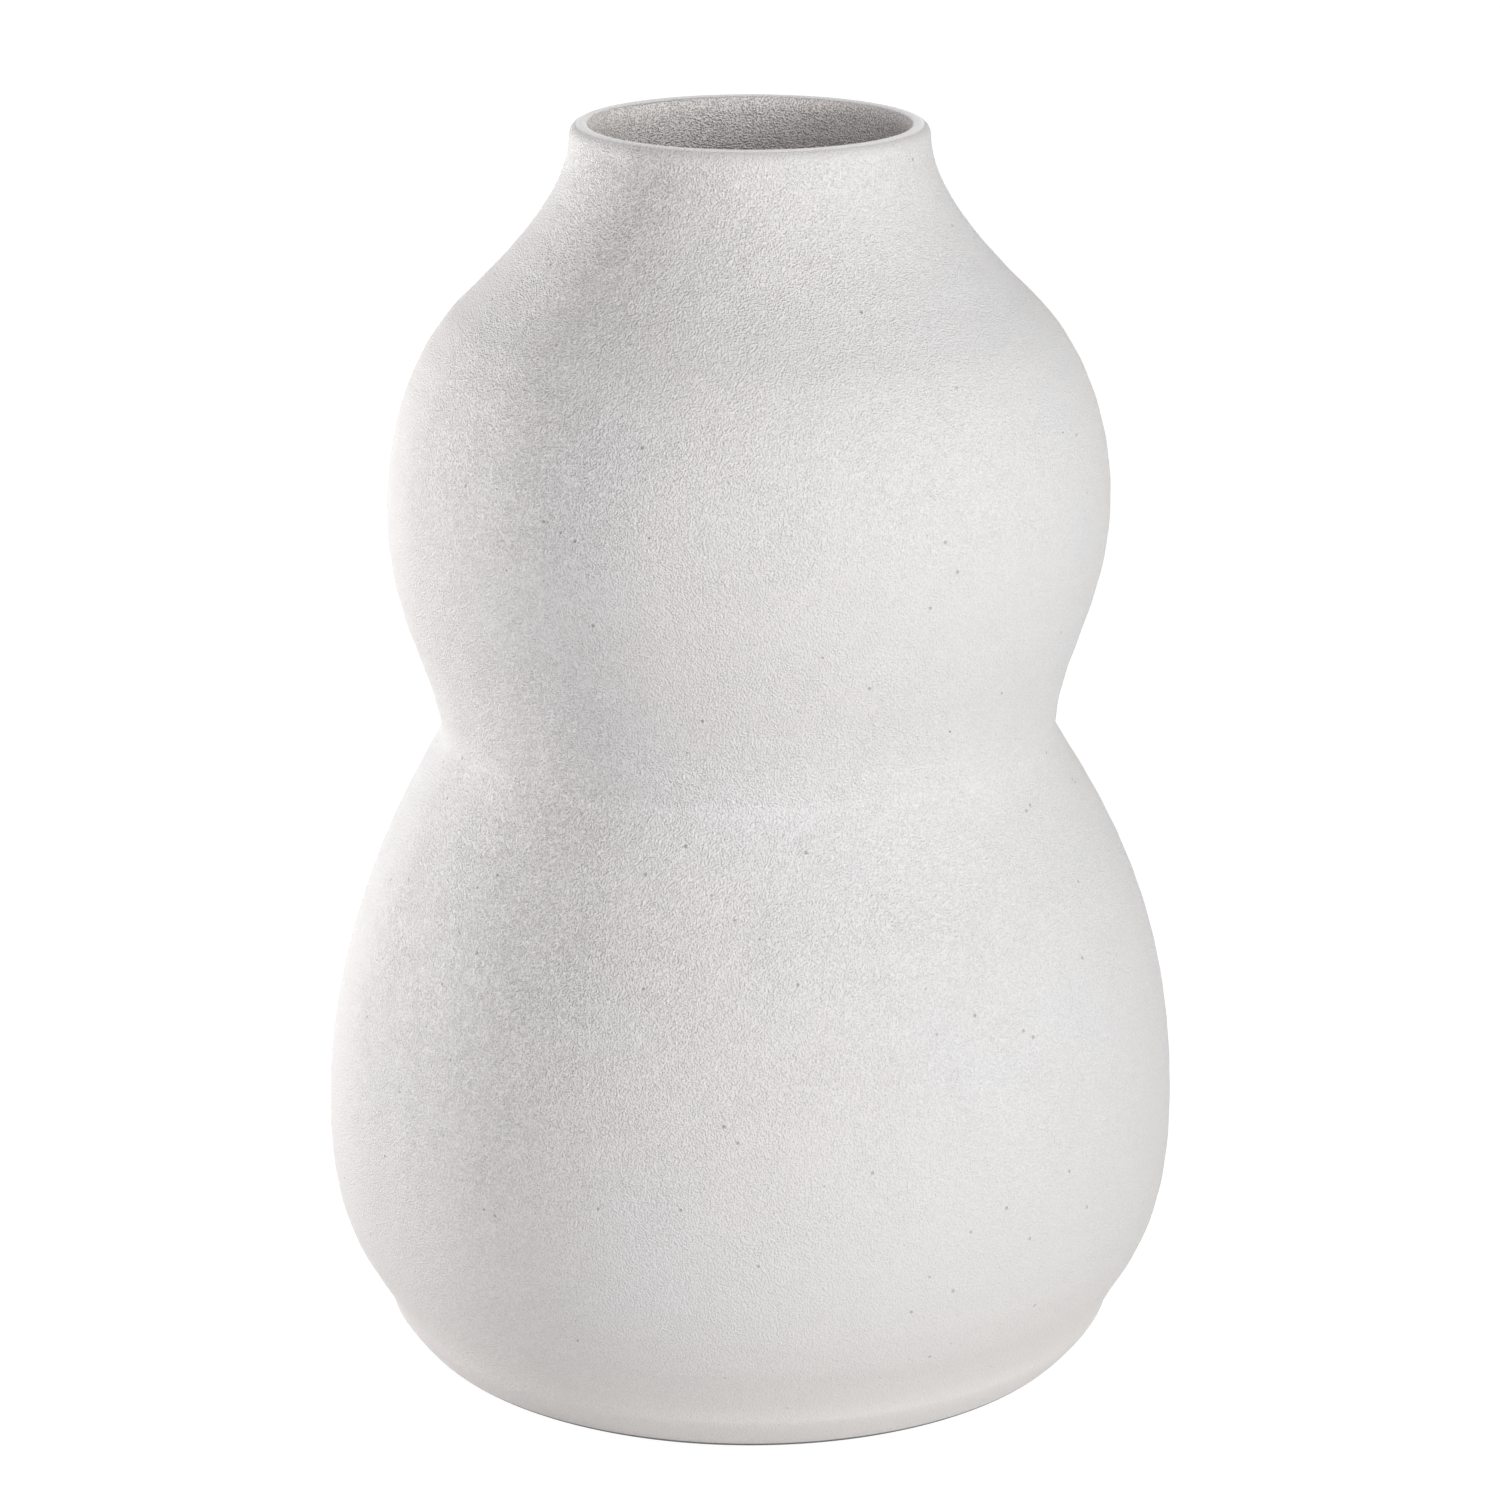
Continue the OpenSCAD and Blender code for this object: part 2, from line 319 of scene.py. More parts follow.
class VaseStudio(bpy.types.PropertyGroup):
    """Camera, lights and floor"""

    camera_distance: size("Camera distance", 1.11871, "Distance of the camera from the vase's axis")
    camera_height: size("Camera height", 0.48415, "Height of the camera above the table")
    camera_pitch: lean_angle("Camera pitch", 16.798, "How far the camera looks down")
    lens: number("Lens", 115.425, "Focal length in millimetres, on a 36 mm frame")
    room_light: number("Room light", 0.373, "Strength of the even light from all round")
    room_tint: colour("Room tint", (1.0, 0.978, 0.985), "Colour of that light")
    key_power: number("Key power", 18.1, "Power of the tall softbox at the right, in watts")
    key_tint: colour("Key tint", (0.965, 1.0, 0.995), "Colour of that softbox")
    front_power: number("Front power", 13.5, "Power of the tall softbox in front, in watts")
    rim_power: number("Rim power", 27.0, "Power of the low softbox behind, at the left, in watts")
    softbox_distance: size("Softbox distance", 1.8, "Distance of the softboxes from the middle of the vase")
    softbox_width: size("Softbox width", 0.6, "Width of the softboxes")
    softbox_height: size("Softbox height", 1.6, "Height of the two softboxes in front")
    rim_height: size("Rim height", 0.26, "Height of the softbox behind")
    softbox_rise: lean_angle("Softbox rise", 12, "How far the two softboxes in front stand above the vase's middle")
    rim_rise: lean_angle("Rim rise", -1, "How far the softbox behind stands above the vase's middle")
    floor_width: size("Floor width", 12.0, "Diameter of the floor")
    floor_paint: colour("Floor paint", (0.82, 0.82, 0.82), "Colour of the floor as the vase sees it")
    floor_seen: colour("Floor as seen", (0.22, 0.22, 0.22), "Colour of the floor that holds its shadow")
    floor_glow: number("Floor glow", 0.93, "White added to the floor in the picture")


@dataclass
class Station:
    """A place on the outline, as radius and height, and the lean of the wall there."""

    place: Vector
    lean: float

    def up(self):
        """Direction up the wall."""
        return Vector((sin(self.lean), cos(self.lean)))

    def inside(self, thickness):
        """The station on the other face of a wall of this thickness."""
        return Station(self.place + Vector((-cos(self.lean), sin(self.lean))) * thickness, self.lean)


def handles(low, high, shares):
    """The four points that guide a curve from one station up to the next."""
    distance = (high.place - low.place).length
    return (
        low.place,
        low.place + low.up() * distance * shares[0],
        high.place - high.up() * distance * shares[1],
        high.place,
    )


def half_way(low, high, shares):
    """The station in the middle of that curve."""
    a, b, c, d = handles(low, high, shares)
    lower, upper = ((a + b) / 2 + (b + c) / 2) / 2, ((b + c) / 2 + (c + d) / 2) / 2
    heading = upper - lower
    return Station((lower + upper) / 2, atan2(heading.x, heading.y))


def on_circle(centre, radius, angle):
    """A point of a circle."""
    return centre + Vector((cos(angle), sin(angle))) * radius


class Outline:
    """Half sections of the three pieces, worked out from the sizes."""

    def __init__(self, shape):
        self.shape = shape
        waist = shape.waist_width / 2
        seam = shape.seam_height
        floor_height = shape.recess_height + shape.floor_thickness
        self.key = waist - shape.rim / 2
        self.crease_centre = Vector((waist + shape.crease_radius, seam))
        self.ridge_centre = Vector((waist - shape.rim + shape.ridge, seam))
        self.bead_centre = Vector((waist - shape.rim, seam))
        self.lip_centre = Vector(((shape.mouth_width - shape.lip) / 2, shape.lip_height - shape.lip / 2))
        self.slip_angle = asin(shape.slip / 2 / shape.ridge)
        self.bead_angle = 2 * asin(shape.bead / 2 / shape.ridge)

        # Stations of the outside, from the table up
        self.foot = Station(Vector((shape.foot_width / 2, 0.0)), LEVEL)
        self.band = Station(Vector((shape.band_width / 2, shape.band_height)), shape.band_lean)
        self.belly = Station(Vector((shape.belly_width / 2, shape.belly_height)), 0.0)
        self.below_crease = Station(
            on_circle(self.crease_centre, shape.crease_radius, pi + shape.below_crease_lean), -shape.below_crease_lean
        )
        self.above_crease = Station(
            on_circle(self.crease_centre, shape.crease_radius, pi - shape.above_crease_lean), shape.above_crease_lean
        )
        self.bulb = Station(Vector((shape.bulb_width / 2, seam + shape.bulb_height)), 0.0)
        self.shoulder = Station(
            Vector((shape.shoulder_width / 2, shape.lip_height - shape.shoulder_drop)), -shape.shoulder_lean
        )
        self.neck = Station(Vector((shape.mouth_width / 2, shape.lip_height - shape.lip / 2)), 0.0)

        # Stations of the inside
        self.floor_edge = Station(Vector((shape.floor_flat_width / 2, floor_height)), LEVEL)
        self.cove_inside = half_way(self.band, self.belly, COVE_SHARES).inside(shape.cove_wall)
        self.belly_inside = self.belly.inside(shape.wall)
        self.below_ridge = Station(
            on_circle(self.ridge_centre, shape.ridge, pi + shape.ridge_lean), -shape.ridge_lean
        )
        self.above_ridge = Station(on_circle(self.ridge_centre, shape.ridge, pi - shape.ridge_lean), shape.ridge_lean)
        self.bulb_inside = self.bulb.inside(shape.wall)
        self.shoulder_inside = self.shoulder.inside(shape.wall)
        self.neck_inside = self.neck.inside(shape.lip)

    def rise(self, low, high, shares):
        """Curve up from one station to the next, without its first point."""
        return interpolate_bezier(*handles(low, high, shares), self.shape.curve_steps + 1)[1:]

    def arc(self, centre, radius, first, last):
        """Arc from one angle to another, without its first point."""
        steps = self.shape.arc_steps
        return [on_circle(centre, radius, first + (last - first) * step / steps) for step in range(1, steps + 1)]

    def rim_face(self, side):
        """Face of a rim from its bevel inwards: side -1 is the lower rim's groove, and 1 the upper rim's ridge."""
        shape = self.shape
        face = shape.seam_height + side * shape.slip / 2
        return [
            Vector((shape.waist_width / 2 - shape.bevel, face)),
            Vector((self.key + shape.key_width / 2, face)),
            Vector((self.key, face - shape.key_height)),
            Vector((self.key - shape.key_width / 2, face)),
            on_circle(self.ridge_centre, shape.ridge, pi - side * self.slip_angle),
        ]

    def covered_ridge(self, side):
        """The stretch of the rounded inside that the bead covers."""
        return self.arc(self.ridge_centre, self.shape.ridge, pi - side * self.slip_angle, pi - side * self.bead_angle)

    def bare_ridge(self, side):
        """The stretch beyond the bead."""
        last = pi - side * self.shape.ridge_lean
        return self.arc(self.ridge_centre, self.shape.ridge, pi - side * self.bead_angle, last)

    def lower_half(self):
        """Recess, foot, belly, grooved rim, and back down the inside to the floor."""
        shape = self.shape
        corner = Vector((shape.recess_width / 2 - shape.recess_height, 0.0))
        recess = [Vector((0.0, shape.recess_height)), corner + Vector((0.0, shape.recess_height))]
        recess += self.arc(corner, shape.recess_height, LEVEL, 0.0)
        outside = [self.foot.place]
        outside += self.rise(self.foot, self.band, FOOT_EDGE_SHARES)
        outside += self.rise(self.band, self.belly, COVE_SHARES)
        outside += self.rise(self.belly, self.below_crease, BELLY_SHARES)
        inside = [self.floor_edge.place]
        inside += self.rise(self.floor_edge, self.cove_inside, BOWL_SHARES)
        inside += self.rise(self.cove_inside, self.belly_inside, FLANK_SHARES)
        inside += self.rise(self.belly_inside, self.below_ridge, BELLY_SHARES)
        rim = self.rim_face(-1) + self.covered_ridge(-1) + self.bare_ridge(-1)
        middle = Vector((0.0, shape.recess_height + shape.floor_thickness))
        return recess + outside + rim + inside[-2::-1] + [middle]

    def upper_half(self):
        """Bulb, shoulder, neck and lip, and back down the inside to the ridged rim."""
        outside = [self.above_crease.place]
        outside += self.rise(self.above_crease, self.bulb, BULB_SHARES)
        outside += self.rise(self.bulb, self.shoulder, BULB_TOP_SHARES)
        outside += self.rise(self.shoulder, self.neck, NECK_SHARES)
        inside = self.rise(self.above_ridge, self.bulb_inside, BULB_SHARES)
        inside += self.rise(self.bulb_inside, self.shoulder_inside, BULB_TOP_SHARES)
        inside += self.rise(self.shoulder_inside, self.neck_inside, NECK_SHARES)
        lip = self.arc(self.lip_centre, self.shape.lip / 2, 0.0, pi)
        rim = self.rim_face(1) + self.covered_ridge(1) + self.bare_ridge(1)
        return outside + lip + inside[-2::-1] + rim[::-1]

    def seam_half(self):
        """Wiped crease, keyed layer between the rims, and the bead inside."""
        shape = self.shape
        crease = [self.below_crease.place]
        crease += self.arc(
            self.crease_centre, shape.crease_radius, pi + shape.below_crease_lean, pi - shape.above_crease_lean
        )
        half_bead = self.bead_angle / 2
        bead = self.arc(self.bead_centre, shape.bead, pi / 2 - half_bead, 3 * pi / 2 + half_bead)
        above = self.rim_face(1) + self.covered_ridge(1)
        below = self.rim_face(-1) + self.covered_ridge(-1)
        return crease + above + bead + below[-2::-1]


def bump_of(height, centre, reach):
    """A soft bump, one high, at a height."""
    return exp(-(((height - centre) / reach) ** 2) / 2)


def raised(wave):
    """A wave between -1 and 1, brought between 0 and 1."""
    return 0.5 + 0.5 * wave


def hand_marked(place, hand):
    """Where a point of the true turned form lies once the hand's marks are on it."""
    radius = hypot(place.x, place.y)
    if radius <= hand.core:
        return place
    turn = atan2(place.y, place.x)
    fade = min(1.0, radius / hand.core - 1.0)
    height = place.z / hand.ring_pitch
    strength = RING_STEADY + RING_VARIED * noise.noise(Vector((0.0, 0.0, height / RING_SPAN)))
    ring = raised(sin(2 * pi * height + turn + RING_WANDER * sin(height / WANDER_SPAN))) * strength
    oval = raised(cos(2 * turn + height / OVAL_SPAN + OVAL_START))
    lobe = raised(cos(3 * turn - height / LOBE_SPAN))
    inward = fade * (hand.ring_depth * ring + hand.out_of_round * (OVAL_SHARE * oval + LOBE_SHARE * lobe))
    sway = hand.upper_sway * bump_of(place.z, hand.upper_sway_height, hand.upper_sway_reach)
    sway += hand.lower_sway * bump_of(place.z, hand.lower_sway_height, hand.lower_sway_reach)
    scale = 1 - inward / radius
    return Vector((place.x * scale + sway, place.y * scale, place.z))


def skin(face, shape):
    """Which material a face shows: 0 is for the outside, 1 for the inside and 2 for the underside."""
    middle = face.calc_center_median()
    if middle.z < shape.recess_height * RECESS_MARGIN and hypot(middle.x, middle.y) < shape.foot_width / 2:
        return 2
    looks_inwards = face.normal.x * middle.x + face.normal.y * middle.y < 0
    is_floor = face.normal.z > FACES_UP and middle.z < shape.seam_height
    return 1 if looks_inwards or is_floor else 0


def turned_piece(name, half, scene, materials):
    """Turns a half section about the vertical axis into a closed piece with the hand's marks."""
    bm = bmesh.new()
    points = [bm.verts.new((point.x, 0.0, point.y)) for point in half]
    lines = [bm.edges.new(pair) for pair in zip(points, points[1:])]
    if points[0].co.x > 0:
        lines.append(bm.edges.new((points[-1], points[0])))
    sectors = scene.vase_shape.sectors
    turn = 2 * pi / sectors
    bmesh.ops.spin(
        bm, geom=points + lines, cent=(0, 0, 0), axis=(0, 0, 1), angle=turn, steps=scene.vase_shape.sector_steps
    )
    bmesh.ops.spin(
        bm, geom=bm.verts[:] + bm.edges[:] + bm.faces[:], cent=(0, 0, 0), axis=(0, 0, 1),
        angle=turn * (sectors - 1), steps=sectors - 1, use_duplicate=True,
    )
    bmesh.ops.remove_doubles(bm, verts=bm.verts, dist=WELD_DISTANCE)
    bmesh.ops.recalc_face_normals(bm, faces=bm.faces)
    for face in bm.faces:
        face.smooth = True
        face.material_index = skin(face, scene.vase_shape)
    for edge in bm.edges:
        edge.smooth = edge.calc_face_angle(0.0) < SHARP_EDGE
    for vert in bm.verts:
        vert.co = hand_marked(vert.co, scene.vase_handwork)
    mesh = bpy.data.meshes.new(name)
    bm.to_mesh(mesh)
    bm.free()
    for material in materials:
        mesh.materials.append(material)
    piece = bpy.data.objects.new(name, mesh)
    scene.collection.objects.link(piece)
    return piece


def feed(tree, node, inputs):
    """Sets a node's sockets to values, or joins them to other sockets."""
    for socket, value in inputs.items():
        if isinstance(value, bpy.types.NodeSocket):
            tree.links.new(value, node.inputs[socket])
        else:
            node.inputs[socket].default_value = value


def put(tree, kind, inputs=None, **settings):
    """Adds a node with its settings, and feeds its sockets."""
    node = tree.nodes.new(kind)
    for name, value in settings.items():
        setattr(node, name, value)
    feed(tree, node, inputs or {})
    return node


def maths(tree, operation, *values, clamp=False):
    """One step of arithmetic."""
    return put(tree, "ShaderNodeMath", dict(enumerate(values)), operation=operation, use_clamp=clamp).outputs[0]


def fade_between(tree, value, start, end, low=0.0, high=1.0):
    """A value's soft way from low at the start to high at the end."""
    inputs = {"Value": value, "From Min": start, "From Max": end, "To Min": low, "To Max": high}
    return put(tree, "ShaderNodeMapRange", inputs, interpolation_type="SMOOTHSTEP").outputs["Result"]


def profile(tree, share, stops):
    """A value read off a smooth line through stops, each a share from 0 to 1 and a strength."""
    top = max(strength for _, strength in stops)
    node = put(tree, "ShaderNodeValToRGB", {0: share})
    node.color_ramp.interpolation = "EASE"
    elements = node.color_ramp.elements
    elements.remove(elements[-1])
    elements[0].position = stops[0][0]
    for index, (place, strength) in enumerate(stops):
        element = elements.new(place) if index else elements[0]
        element.color = (*(strength / top,) * 3, 1.0)
    return maths(tree, "MULTIPLY", node.outputs[0], top)


def mixed(tree, share, first, second, blend="MIX"):
    """Two colours mixed by a share. Sockets 6 and 7 of the mix node and its output 2 are for colours."""
    inputs = {0: share, 6: first, 7: second}
    return put(tree, "ShaderNodeMix", inputs, data_type="RGBA", blend_type=blend).outputs[2]


def grey(tree, value):
    """A value as a grey."""
    return put(tree, "ShaderNodeCombineColor", {0: value, 1: value, 2: value}).outputs[0]


def lay_out(tree):
    """Sets each node a column left of the nodes that it feeds."""
    column = {node: 0 for node in tree.nodes}
    for _ in tree.nodes:
        for link in tree.links:
            column[link.from_node] = max(column[link.from_node], column[link.to_node] + 1)
    rows = {}
    for node in tree.nodes:
        rows[column[node]] = rows.get(column[node], 0) + 1
        node.location = (-220 * column[node], -260 * rows[column[node]])


def new_group(name, inputs, outputs):
    """An empty shader group and its two end nodes. A socket is a number, unless SOCKET_KINDS has its name."""
    group = bpy.data.node_groups.new(name, "ShaderNodeTree")

    def socket(label, way):
        kind = SOCKET_KINDS.get(label, "NodeSocketFloat")
        return group.interface.new_socket(name=label, in_out=way, socket_type=kind)

    for label, default in inputs.items():
        socket(label, "INPUT").default_value = default
    for label in outputs:
        socket(label, "OUTPUT")
    return group, group.nodes.new("NodeGroupInput"), group.nodes.new("NodeGroupOutput")


def object_place(tree):
    """The place of a point on the vase itself."""
    return put(tree, "ShaderNodeTexCoord").outputs["Object"]


def sand_grain_group():
    """Sand that stands up in the surface, and the pits between the grains."""
    group, given, result = new_group("Sand grain", {"Grain": 0.00065, "Depth": 0.00005}, ["Height", "Pits"])
    place = object_place(group)
    scale = maths(group, "DIVIDE", 1.0, given.outputs["Grain"])
    cells = put(group, "ShaderNodeTexVoronoi", {"Vector": place, "Scale": scale}, feature="F1")
    swell = put(group, "ShaderNodeTexNoise", {"Vector": place, "Scale": scale, "Detail": 0.0})
    drift = put(group, "ShaderNodeTexNoise", {"Vector": place, "Scale": DRIFT_DENSITY, "Detail": 2.0})
    strength = fade_between(group, drift.outputs[0], *NOISE_SPREAD, *DRIFT_REACH)
    grains = maths(group, "SUBTRACT", 1.0, cells.outputs["Distance"])
    both = maths(group, "MULTIPLY_ADD", swell.outputs[0], SWELL_WEIGHT, grains)
    depth = maths(group, "MULTIPLY", given.outputs["Depth"], strength)
    group.links.new(maths(group, "MULTIPLY", both, depth), result.inputs["Height"])
    group.links.new(fade_between(group, both, PIT_EDGE, PIT_FULL), result.inputs["Pits"])
    lay_out(group)
    return group


def sand_and_light_strength_group():
    """How strongly the sand stands out at a place outside, by its height and by its side. The same strength sets the
    painted light of the sand lift.
    """
    group, given, result = new_group("Sand and painted light strength", {"Top": 0.3}, ["Strength"])
    place = put(group, "ShaderNodeSeparateXYZ", {0: object_place(group)})
    height = maths(group, "DIVIDE", place.outputs["Z"], given.outputs["Top"])
    flat = put(group, "ShaderNodeCombineXYZ", {0: place.outputs["X"], 1: place.outputs["Y"]})
    radius = put(group, "ShaderNodeVectorMath", {0: flat.outputs[0]}, operation="LENGTH").outputs["Value"]
    side = maths(group, "MULTIPLY_ADD", maths(group, "DIVIDE", place.outputs["X"], radius), 0.5, 0.5)
    by_side = profile(group, side, [(0.5 + turn / 2, strength) for turn, strength in SAND_AND_LIGHT_BY_SIDE])
    strength = maths(group, "MULTIPLY", profile(group, height, SAND_AND_LIGHT_BY_HEIGHT), by_side)
    group.links.new(strength, result.inputs["Strength"])
    lay_out(group)
    return group


def pinholes_group():
    """Small round holes scattered through the clay, as spheres that the surface cuts."""
    inputs = {"Spacing": 0.0125, "Radius": 0.0005, "Depth": 0.0002, "Shift": (0.0, 0.0, 0.0)}
    group, given, result = new_group("Pinholes", inputs, ["Height", "Mask"])
    place = put(group, "ShaderNodeVectorMath", {0: object_place(group), 1: given.outputs["Shift"]}, operation="ADD")
    scale = maths(group, "DIVIDE", 1.0, given.outputs["Spacing"])
    cells = put(group, "ShaderNodeTexVoronoi", {"Vector": place.outputs[0], "Scale": scale}, feature="F1")
    distance = maths(group, "MULTIPLY", cells.outputs["Distance"], given.outputs["Spacing"])
    inner = maths(group, "MULTIPLY", given.outputs["Radius"], PINHOLE_CORE)
    mask = fade_between(group, distance, given.outputs["Radius"], inner)
    group.links.new(mask, result.inputs["Mask"])
    depth = maths(group, "MULTIPLY", given.outputs["Depth"], -1.0)
    group.links.new(maths(group, "MULTIPLY", mask, depth), result.inputs["Height"])
    lay_out(group)
    return group


def rib_lines_group():
    """Fine lines that the throwing rib drew round the wall."""
    group, given, result = new_group("Rib lines", {"Depth": 0.00002}, ["Height"])
    stretched = put(group, "ShaderNodeMapping", {"Vector": object_place(group), "Scale": RIB_LINE_DENSITY})
    lines = put(
        group, "ShaderNodeTexNoise",
        {"Vector": stretched.outputs[0], "Scale": 1.0, "Detail": 3.0, "Roughness": 0.55},
    )
    group.links.new(maths(group, "MULTIPLY", lines.outputs[0], given.outputs["Depth"]), result.inputs["Height"])
    lay_out(group)
    return group


def height_band_group():
    """A mask between two heights, with soft and slightly wavering edges."""
    inputs = {"Low": 0.0, "High": 0.01, "Softness": 0.003, "Waver": 0.002}
    group, given, result = new_group("Height band", inputs, ["Mask"])
    place = object_place(group)
    height = put(group, "ShaderNodeSeparateXYZ", {0: place}).outputs["Z"]
    wave = put(group, "ShaderNodeTexNoise", {"Vector": place, "Scale": WAVER_DENSITY, "Detail": 2.0}).outputs[0]
    offset = maths(group, "MULTIPLY", maths(group, "SUBTRACT", wave, 0.5), given.outputs["Waver"])
    height = maths(group, "ADD", height, offset)
    soft = given.outputs["Softness"]
    above = fade_between(
        group, height, maths(group, "SUBTRACT", given.outputs["Low"], soft), given.outputs["Low"]
    )
    below = fade_between(
        group, height, maths(group, "ADD", given.outputs["High"], soft), given.outputs["High"]
    )
    group.links.new(maths(group, "MULTIPLY", above, below), result.inputs["Mask"])
    lay_out(group)
    return group


def clay_tone_group():
    """Soft patches in which the fired clay is a little lighter or darker."""
    inputs = {"Clay": (0.8, 0.8, 0.8, 1.0), "Patch size": 0.03, "Amount": 0.03}
    group, given, result = new_group("Clay tone", inputs, ["Colour"])
    scale = maths(group, "DIVIDE", 1.0, given.outputs["Patch size"])
    patches = put(group, "ShaderNodeTexNoise", {"Vector": object_place(group), "Scale": scale, "Detail": 3.0})
    darker = maths(group, "SUBTRACT", 1.0, given.outputs["Amount"])
    shade = fade_between(group, patches.outputs[0], *NOISE_SPREAD, darker, 1.0)
    toned = mixed(group, 1.0, given.outputs["Clay"], grey(group, shade), "MULTIPLY")
    hue_scale = maths(group, "MULTIPLY", scale, HUE_DENSITY)
    hues = put(group, "ShaderNodeTexNoise", {"Vector": object_place(group), "Scale": hue_scale})
    cool_or_warm = mixed(group, fade_between(group, hues.outputs[0], *HUE_SPREAD), COOL_HUE, WARM_HUE)
    group.links.new(mixed(group, 1.0, toned, cool_or_warm, "MULTIPLY"), result.inputs["Colour"])
    lay_out(group)
    return group


GROUP_MAKERS = {
    "Sand grain": sand_grain_group,
    "Sand and painted light strength": sand_and_light_strength_group,
    "Pinholes": pinholes_group,
    "Rib lines": rib_lines_group,
    "Height band": height_band_group,
    "Clay tone": clay_tone_group,
}


def use_group(tree, name, inputs):
    """Places a shader group in a material, making the group the first time."""
    node = tree.nodes.new("ShaderNodeGroup")
    node.node_tree = bpy.data.node_groups.get(name) or GROUP_MAKERS[name]()
    feed(tree, node, inputs)
    return node


def emptied(owner):
    """The node tree of a material or a world, with nothing in it."""
    owner.use_nodes = True
    owner.node_tree.nodes.clear()
    return owner.node_tree


def new_material(name):
    """An empty node material with its shader and its output."""
    material = bpy.data.materials.new(name)
    tree = emptied(material)
    shader = tree.nodes.new("ShaderNodeBsdfPrincipled")
    put(tree, "ShaderNodeOutputMaterial", {"Surface": shader.outputs[0]})
    return material, tree, shader


def scattered(tree, spacing, radius, depth, shift):
    """Round holes, or specks where the depth is nought, scattered through the clay."""
    return use_group(tree, "Pinholes", {"Spacing": spacing, "Radius": radius, "Depth": depth, "Shift": shift})


def dress(tree, shader, paint, rough, height):
    """Feeds a shader its colour, its roughness and the relief of its surface."""
    bump = put(tree, "ShaderNodeBump", {"Height": height, "Strength": 1.0, "Distance": 1.0})
    feed(tree, shader, {"Base Color": paint, "Roughness": rough, "Normal": bump.outputs[0]})


def shaded(tree, share, paint, shade):
    """A paint made lighter or darker where a mask lies."""
    return mixed(tree, share, paint, mixed(tree, 1.0, paint, (shade, shade, shade, 1.0), "MULTIPLY"))


def white_stoneware(name, shape, finish, inside=False):
    """Matt white with sand, pinholes and rib lines, wiped smooth at the lip and the foot, with painted light and
    shade in its colour.
    """
    existing = bpy.data.materials.get(name)
    if existing:
        return existing
    material, tree, shader = new_material(name)

    def band(low, high, softness, waver):
        inputs = {"Low": low, "High": high, "Softness": softness, "Waver": waver}
        return use_group(tree, "Height band", inputs).outputs["Mask"]

    top, seam = shape.lip_height, shape.seam_height
    lip_band = finish.lip_band * INSIDE_LIP_SHARE if inside else finish.lip_band
    lip = band(top - lip_band, top + lip_band, EDGE_SOFTNESS * lip_band, LIP_WAVER)
    foot = band(-finish.foot_band, finish.foot_band, FOOT_SOFTNESS, FOOT_WAVER)
    # Band of painted light about the crease.
    crease = band(
        seam - CREASE_BELOW * finish.crease_light_band, seam + CREASE_ABOVE * finish.crease_light_band,
        CREASE_SOFTNESS, CREASE_WAVER,
    )
    warm = band(-finish.warm_band, finish.warm_band / WARM_PARTS, finish.warm_band, WARM_WAVER)
    # Band of the painted contact shadow.
    contact_shadow = band(
        -finish.contact_shadow_band, finish.contact_shadow_band, finish.contact_shadow_band / CONTACT_SHADOW_PARTS, CONTACT_SHADOW_WAVER
    )
    # Band of the painted highlight along the crest, which also carries the coat.
    crest_highlight = band(top - finish.crest_highlight_band, top + finish.crest_highlight_band, EDGE_SOFTNESS * finish.crest_highlight_band, 0.0)

    if inside:
        below_lip = maths(tree, "SUBTRACT", 1.0, lip)
        strength = maths(tree, "MULTIPLY_ADD", below_lip, finish.inside_sand - INSIDE_LIP_SAND, INSIDE_LIP_SAND)
        # Painted light: below the lip the inside is painted a lighter, warmer clay, to make up for the shade inside
        # the vase.
        clay = mixed(tree, below_lip, (*finish.clay, 1.0), (*finish.inside_clay_lit, 1.0))
        pit_tone_and_shade = finish.pit_tone_and_shade * finish.inside_tone_and_shade
    else:
        strength = use_group(tree, "Sand and painted light strength", {"Top": top}).outputs["Strength"]
        clay, pit_tone_and_shade = (*finish.clay, 1.0), finish.pit_tone_and_shade
    sand = use_group(
        tree, "Sand grain",
        {"Grain": finish.grain, "Depth": maths(tree, "MULTIPLY", strength, finish.grain_depth)},
    )
    holes = scattered(tree, finish.pinhole_spacing, finish.pinhole_radius, finish.pinhole_depth, HOLE_SHIFT)
    specks = scattered(tree, finish.iron_spacing, finish.iron_radius, 0.0, SPECK_SHIFT)
    lines = use_group(tree, "Rib lines", {"Depth": finish.line_depth})

    patches = use_group(tree, "Clay tone", {"Clay": clay, "Patch size": PATCH_SIZE, "Amount": PATCH_AMOUNT})
    # Warmer towards the bottom.
    paint = mixed(tree, warm, patches.outputs["Colour"], (*finish.warm_clay, 1.0))
    # Painted light on the foot band.
    paint = shaded(tree, foot, paint, finish.foot_painted_light)
    # Painted light about the crease.
    paint = shaded(tree, crease, paint, finish.crease_painted_light)
    # Painted shade on the lip's band.
    paint = shaded(tree, lip, paint, finish.lip_painted_shade)
    # Painted highlight along the crest.
    paint = shaded(tree, crest_highlight, paint, finish.crest_painted_highlight / finish.lip_painted_shade)
    # The pits are darkened, partly as the grains' own tone and partly as painted shade in them.
    standing = maths(tree, "SUBTRACT", finish.pit_mean, sand.outputs["Pits"])
    # Painted light: the clay is lifted with the sand's strength, which goes by height and by side, and capped at the
    # lightest tone.
    painted_lift = maths(tree, "MULTIPLY_ADD", strength, finish.sand_painted_light, 1.0 - finish.sand_painted_light)
    tone = maths(tree, "MULTIPLY_ADD", standing, maths(tree, "MULTIPLY", strength, pit_tone_and_shade), painted_lift)
    tone = maths(tree, "MINIMUM", tone, finish.lightest / finish.clay[0])
    paint = mixed(tree, 1.0, paint, grey(tree, tone), "MULTIPLY")
